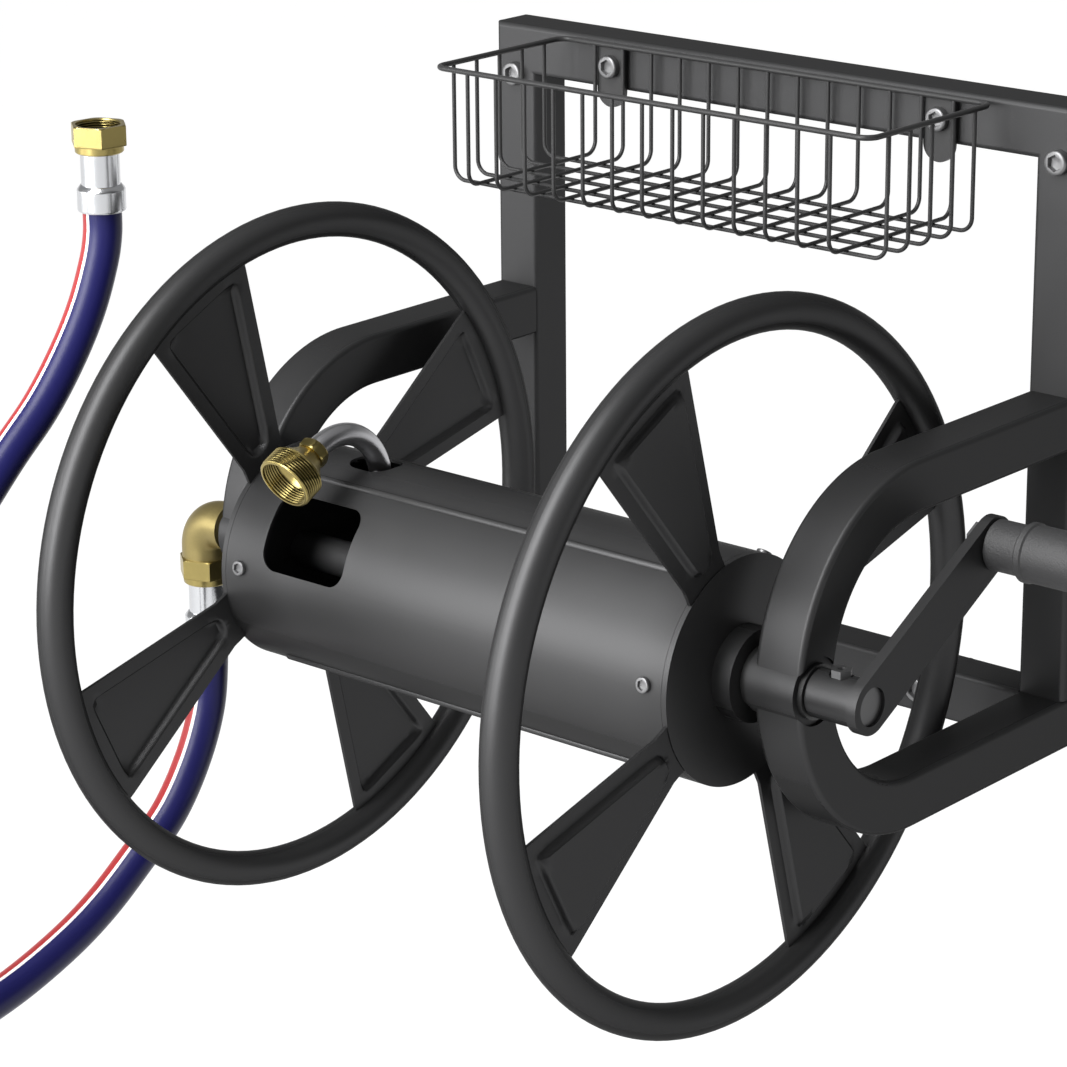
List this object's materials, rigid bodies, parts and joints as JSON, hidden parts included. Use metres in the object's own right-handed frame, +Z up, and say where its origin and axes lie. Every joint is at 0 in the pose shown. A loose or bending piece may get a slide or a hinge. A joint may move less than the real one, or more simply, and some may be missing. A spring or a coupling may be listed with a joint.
{
  "type": "wall mounted hose reel",
  "caption": "Wall mounted hose reel: a tube frame with a wire basket carries a spoked drum turned by a crank, with a swivelling water inlet, a lead-in hose and a gooseneck outlet.",
  "frame": {"origin": "on the wall plane, midway between the two upper wall bolts", "axes": "+X along the axle towards the crank, +Y into the wall, +Z up"},
  "size_m": [0.6089, 0.614, 0.523],
  "materials": {
    "frame_coat": "satin textured powder coat",
    "wheel_coat": "satin powder coat",
    "drum_coat": "satin powder coat",
    "basket_coat": "satin powder coat",
    "crank_coat": "satin powder coat",
    "shaft_steel": "drawn, black oxide",
    "bolt_steel": "bright zinc plated",
    "bush_plastic": "machined",
    "bright_tube": "polished",
    "brass": "machined",
    "seal_rubber": "moulded",
    "grip_rubber": "fine pebbled",
    "hose_rubber": "smooth extruded"
  },
  "bodies": {
    "frame": {"top_rail": "frame_coat", "left_post": "frame_coat", "right_post": "frame_coat", "lower_rail": "frame_coat", "left_upper_arm": "frame_coat", "left_lower_arm": "frame_coat", "right_upper_arm": "frame_coat", "right_lower_arm": "frame_coat", "left_bearing_tube": "frame_coat", "right_bearing_tube": "frame_coat", "left_bush": "bush_plastic", "right_bush": "bush_plastic", "wall_bolts": "bolt_steel", "basket_rim": "basket_coat", "basket_wires": "basket_coat", "basket_tabs": "basket_coat", "basket_bolts": "bolt_steel"},
    "reel": {"left_rim": "wheel_coat", "right_rim": "wheel_coat", "left_spokes": "wheel_coat", "right_spokes": "wheel_coat", "top_panel": "drum_coat", "front_panel": "drum_coat", "rear_panel": "drum_coat", "left_end_disc": "drum_coat", "right_end_disc": "drum_coat", "left_collar": "drum_coat", "right_collar": "drum_coat", "axle": "shaft_steel", "panel_screws": "bolt_steel", "gooseneck": "bright_tube", "outlet_nut": "brass", "outlet_fitting": "brass", "crank_hub": "crank_coat", "crank_arm": "crank_coat", "crank_set_screw": "bolt_steel", "grip_spindle": "bolt_steel", "spindle_nut": "bolt_steel", "swivel_seal": "seal_rubber", "swivel_clip": "bolt_steel"},
    "grip": {"grip": "grip_rubber"},
    "inlet": {"inlet_elbow": "brass", "elbow_nut": "brass", "elbow_washer": "seal_rubber", "lower_stem": "bright_tube", "lower_ferrule": "bright_tube", "lead_hose": "hose_rubber", "upper_ferrule": "bright_tube", "upper_stem": "bright_tube", "coupling_washer": "seal_rubber"},
    "coupling": {"coupling_nut": "brass"}
  },
  "joints": [
    {"name": "reel_spin", "type": "hinge", "parent": "frame", "child": "reel", "pos_m": [0, -0.262, -0.235], "axis": [1, 0, 0], "continuous": true},
    {"name": "grip_spin", "type": "hinge", "parent": "reel", "child": "grip", "pos_m": [0.3, -0.15442, -0.17537], "axis": [1, 0, 0], "continuous": true},
    {"name": "inlet_swivel", "type": "hinge", "parent": "frame", "child": "inlet", "pos_m": [-0.238, -0.262, -0.235], "axis": [1, 0, 0], "range_deg": [-20, 20]},
    {"name": "coupling_spin", "type": "hinge", "parent": "inlet", "child": "coupling", "pos_m": [-0.238, -0.3323, 0.0055], "axis": [0, 0, 1], "continuous": true}
  ]
}
